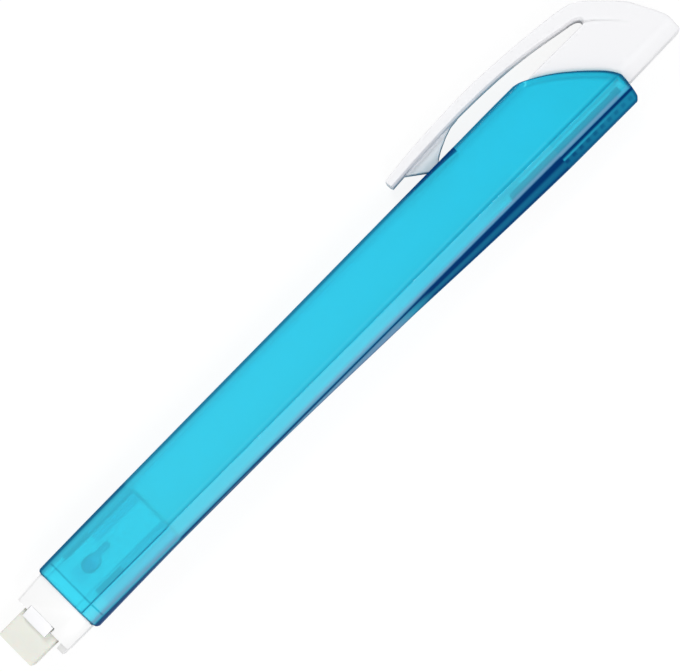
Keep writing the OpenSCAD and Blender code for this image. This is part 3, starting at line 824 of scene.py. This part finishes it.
capSizes = {
    "outer": [(-37.65, 8.8), (-31, 9.48), (-24.8, 9.82), (-19.7, 9.998), (-15.5, 9.9), (-9.25, 9.5),
              (-3, 8.92), (0.1, 8.51), (2.3, 7.98), (3.7, 7.12), (5.2, 5.73), (8.5, 2.2), (9.6, 0.39),
              (11.45, -3.35), (11.72, -4.9)],
    "corner": [(11.7, -6.7), (11.55, -6.9), (0.6, -7.19), (-0.1, -7.19)],
    "inside": [(-0.12, -5.4), (-0.85, -4.12), (-2.05, -2.71), (-4.55, -0.32), (-7, 1.69), (-9.45, 3.32),
               (-11.2, 4.24)],
    "slot": [(-8.7, 4.29), (0.9, 4.24), (1.45, 4.36), (1.7, 4.7), (1.55, 5.15), (1.1, 5.48), (0.4, 5.72),
             (-1.2, 6), (-7.4, 7.05), (-13.7, 7.69), (-20, 7.91), (-24, 7.88), (-31, 7.6), (-37.5, 7.17)],
    "half": 3.85,
    "clipHalf": 3.2,
    # what comes off the clip's inside, which is thinner at the back and slopes at the front: how much, and
    # between which distances from the mid plane
    "clipInside": {"hollow": (0.45, -9, -0.8), "slopeLow": (0.12, 2.75, 9), "slopeMiddle": (0.24, 2.87, 9),
                   "slopeHigh": (0.36, 2.99, 9)},
    "pastTip": (-39, 7.08),      # the slot's line, led on past the clip's tip
    "slotTop": (4.55, 4.5, 5),   # the slot's upper side starts at this height, its cuts come in between these
    "slotTurn": (0, 1.6),        # the slot's closed end turns between these
    "cutOver": 0.3,              # the cuts start this far outside the clip
    "rim": [(-50, 20), (-50, 4.7), (1.6, 4.5), (2.7, 3.75), (4, 2.5), (5.5, 0.95), (6.9, -0.82), (8.2, -2.6),
            (8.2, 20)],
    "rimFade": (2, 8, 0.11),     # the clip's step down fades out between these, and ends this far outside
    "rimSpan": (3, 6),           # mm off the mid plane that the step's cut takes in
    "cutReach": (-60, 9, 30),    # cuts go this far past the clip's tip, off the mid plane and up and down
    "fall": [(-4.5, 3.85), (-5.3, 3.68), (-6.2, 3.3), (-7.6, 2.65)],     # the blade's lower corners, y and z
    "fallSpan": 20,              # mm before and behind the end that they take in
    "foot": [(-22.6, 8.3), (-22.6, 7.9), (-24.2, 7.77), (-25.8, 7.23), (-28, 6.22), (-29.3, 5.4),
             (-29.65, 4.95), (-31.4, 4.95), (-31.9, 5.24), (-34.8, 7.38), (-34.8, 8.2)],
    "footHalf": 1.4,
    "arm": [(-25.5, -7.88), (-25.4, -6.3), (-25.27, -6.17), (-1.7, -6.17), (-1.7, -7.88)],
    "armHalf": 2.0,
    "armRoot": [(-3, -5.9), (-3, -7.3), (0.2, -7.19), (0.2, -5.3)],
    "armRootHalf": 1.3,
    "pawl": [(-5.1, -7.6), (-4.4, -8.74), (-4.15, -8.74), (-3.75, -7.6)],
    "pawlHalf": 0.7,
    "pegHole": (-24, -1.3, 0.45),        # place, height off the mid plane and radius
    "pegHoleSpan": (-7.3, -5),
    "pegHoleSides": 24,
    "voxel": 0.15,               # mm, the mesh from which the moulding's edges are melted
    "meltRounds": 4,
}


def fromEnd(points):
    return [(barrelLen + x, y) for x, y in points]


def buildCap():
    sizes = capSizes
    outline = curveThrough(sizes["outer"], 8) + sizes["corner"]
    outline += curveThrough(sizes["inside"], 4) + curveThrough(sizes["slot"], 8)
    cap = prism("endCapMoulding", fromEnd(outline), -sizes["half"], sizes["half"])
    fadeFrom, fadeTo, past = sizes["rimFade"]
    reachX, reachZ, reachY = sizes["cutReach"]
    for side in (-1, 1):
        step = [(reachX, sizes["clipHalf"]), (fadeFrom, sizes["clipHalf"]), (fadeTo, sizes["half"]),
                (fadeTo + 1, sizes["half"] + past), (fadeTo + 1, reachZ), (reachX, reachZ)]
        low, high = sorted(side * z for z in sizes["rimSpan"])
        cut = prism("rimCut", fromEnd(sizes["rim"]), low, high)
        mirrored = [(x, side * z) for x, z in step]
        combine(cut, prism("rimStep", fromEnd(mirrored), -reachY, reachY, "y"), "INTERSECT")
        combine(cap, cut, "DIFFERENCE")
        fall, clear = sizes["fall"], sizes["rimSpan"][1]
        bevel = [(y, side * z) for y, z in fall + [(fall[-1][0], clear), (fall[0][0], clear)]]
        cut = prism("bevelCut", bevel, barrelLen - sizes["fallSpan"], barrelLen + sizes["fallSpan"], "x")
        combine(cap, cut, "DIFFERENCE")
    slotTop, fullFrom, fullTo = sizes["slotTop"]
    inner = [(x, y) for x, y in curveThrough(sizes["slot"] + [sizes["pastTip"]], 8) if y > slotTop]
    over = [(x - sizes["cutOver"] * ramp(x, *sizes["slotTurn"]), y - sizes["cutOver"]) for x, y in inner]
    for name, (deep, low, high) in sizes["clipInside"].items():
        moved = [(x + deep * ramp(x, *sizes["slotTurn"]), y + deep * ramp(y, fullFrom, fullTo))
                 for x, y in inner]
        combine(cap, prism(name, fromEnd(over + moved[::-1]), low, high), "DIFFERENCE")
    combine(cap, prism("foot", fromEnd(sizes["foot"]), -sizes["footHalf"], sizes["footHalf"]), "UNION")
    arm = prism("arm", fromEnd(sizes["arm"]), -sizes["armHalf"], sizes["armHalf"])
    combine(arm, prism("pawl", fromEnd(sizes["pawl"]), -sizes["pawlHalf"], sizes["pawlHalf"]), "UNION")
    holeX, holeZ, holeR = sizes["pegHole"]
    ring = [(barrelLen + holeX + holeR * math.cos(a), holeZ + holeR * math.sin(a))
            for a in (2 * math.pi * i / sizes["pegHoleSides"] for i in range(sizes["pegHoleSides"]))]
    combine(arm, prism("pegHole", ring, *sizes["pegHoleSpan"], "y"), "DIFFERENCE")
    root = prism("armRoot", fromEnd(sizes["armRoot"]), -sizes["armRootHalf"], sizes["armRootHalf"])
    combine(arm, root, "UNION")
    combine(cap, arm, "UNION")
    melt(cap, sizes["voxel"], sizes["meltRounds"])
    finishPiece(cap, "slider", capAbs, ["end_cap"])
    return cap


cap = buildCap()
print("end cap made")


# floor, light and camera

stageLook = {
    "floor": "#f2f2f2",
    "floorSeen": "#666666",      # the camera sees less of the paper's own shade and more of its glow
    "floorGlow": 0.89,           # lifts the paper to white for the camera, and leaves the shadow in it
    "worldStrength": 0.5,
    "key": ((0.15, 0.38, 0.58), 0.22, 1.45),     # place, size in metres and watts
    "fill": ((-0.05, -0.29, 0.52), 0.3, 1.45),
}


def buildFloor():
    material, tree, output, coords = newMaterial("paperFloor")
    path = addNode(tree, "ShaderNodeLightPath")
    paper = addNode(tree, "ShaderNodeBsdfDiffuse", None, None, Color=linear(stageLook["floor"]))
    faint = addNode(tree, "ShaderNodeBsdfDiffuse", None, None, Color=linear(stageLook["floorSeen"]))
    lift = addNode(tree, "ShaderNodeEmission", None, None, Color=linear("#ffffff"),
                   Strength=stageLook["floorGlow"])
    lifted = addNode(tree, "ShaderNodeAddShader", None, {0: faint.outputs[0], 1: lift.outputs[0]})
    shown = addNode(tree, "ShaderNodeMixShader", None,
                    {0: path.outputs["Is Camera Ray"], 1: paper.outputs[0], 2: lifted.outputs[0]})
    glow = addNode(tree, "ShaderNodeEmission", None, None, Color=linear("#ffffff"), Strength=1.0)
    mixed = addNode(tree, "ShaderNodeMixShader", None,
                    {0: path.outputs["Is Transmission Ray"], 1: shown.outputs[0], 2: glow.outputs[0]})
    tree.links.new(mixed.outputs[0], output.inputs["Surface"])
    mesh = bpy.data.meshes.new("floor")
    size, below = 2.0, -0.00005
    mesh.from_pydata([(-size, -size, below), (size, -size, below), (size, size, below), (-size, size, below)],
                     [], [(0, 1, 2, 3)])
    floor = bpy.data.objects.new("floor", mesh)
    bpy.context.scene.collection.objects.link(floor)
    floor.data.materials.append(material)


def buildWorld():
    world = bpy.data.worlds.new("softRoom")
    bpy.context.scene.world = world
    world.use_nodes = True
    tree = world.node_tree
    tree.nodes.clear()
    path = addNode(tree, "ShaderNodeLightPath")
    room = addNode(tree, "ShaderNodeBackground", None, None, Color=linear("#ffffff"),
                   Strength=stageLook["worldStrength"])
    seen = addNode(tree, "ShaderNodeBackground", None, None, Color=linear("#ffffff"), Strength=1.0)
    shown = addNode(tree, "ShaderNodeMath", {"operation": "MAXIMUM"},
                    {0: path.outputs["Is Camera Ray"], 1: path.outputs["Is Transmission Ray"]})
    mixed = addNode(tree, "ShaderNodeMixShader", None,
                    {0: shown.outputs[0], 1: room.outputs[0], 2: seen.outputs[0]})
    output = addNode(tree, "ShaderNodeOutputWorld")
    tree.links.new(mixed.outputs[0], output.inputs["Surface"])


def addLamp(name, where, size, watts):
    lamp = bpy.data.lights.new(name, "AREA")
    lamp.shape = "DISK"
    lamp.size = size
    lamp.energy = watts
    holder = bpy.data.objects.new(name, lamp)
    holder.location = where
    holder.rotation_euler = (-Vector(where)).to_track_quat("-Z", "Y").to_euler()
    holder.visible_transmission = False
    bpy.context.scene.collection.objects.link(holder)


cameraLook = {
    "pixels": (680, 672),
    "focalPixels": 4000,                       # a long lens: the stick's sides hardly converge
    "distance": 620,                           # mm from the front face
    "tiltDegrees": 3.7,                        # leaning towards the keel side
    "aim": (-0.436, -3.41, 9.6),               # mm, what the picture's centre shows
}


def buildCamera():
    look = cameraLook
    tilt = math.radians(look["tiltDegrees"])
    back = Vector((0, -math.sin(tilt), math.cos(tilt)))
    along = Vector((1, 0, 0))
    down = Vector((0, -math.cos(tilt), -math.sin(tilt)))
    right = (along + down).normalized()        # the stick lies at 45 degrees in the picture
    up = (along - down).normalized()
    data = bpy.data.cameras.new("camera")
    data.sensor_width = 36
    data.lens = look["focalPixels"] * data.sensor_width / look["pixels"][0]
    data.clip_start, data.clip_end = 0.01, 10
    camera = bpy.data.objects.new("camera", data)
    turn = Matrix((right, up, back)).transposed()
    eye = (Vector(look["aim"]) + back * look["distance"]) * mm
    camera.matrix_world = Matrix.Translation(eye) @ turn.to_4x4()
    bpy.context.scene.collection.objects.link(camera)
    bpy.context.scene.camera = camera


buildFloor()
buildWorld()
for name in ("key", "fill"):
    addLamp(name + "Lamp", *stageLook[name])
buildCamera()
bpy.context.scene.view_settings.view_transform = "Standard"
print("stage set")
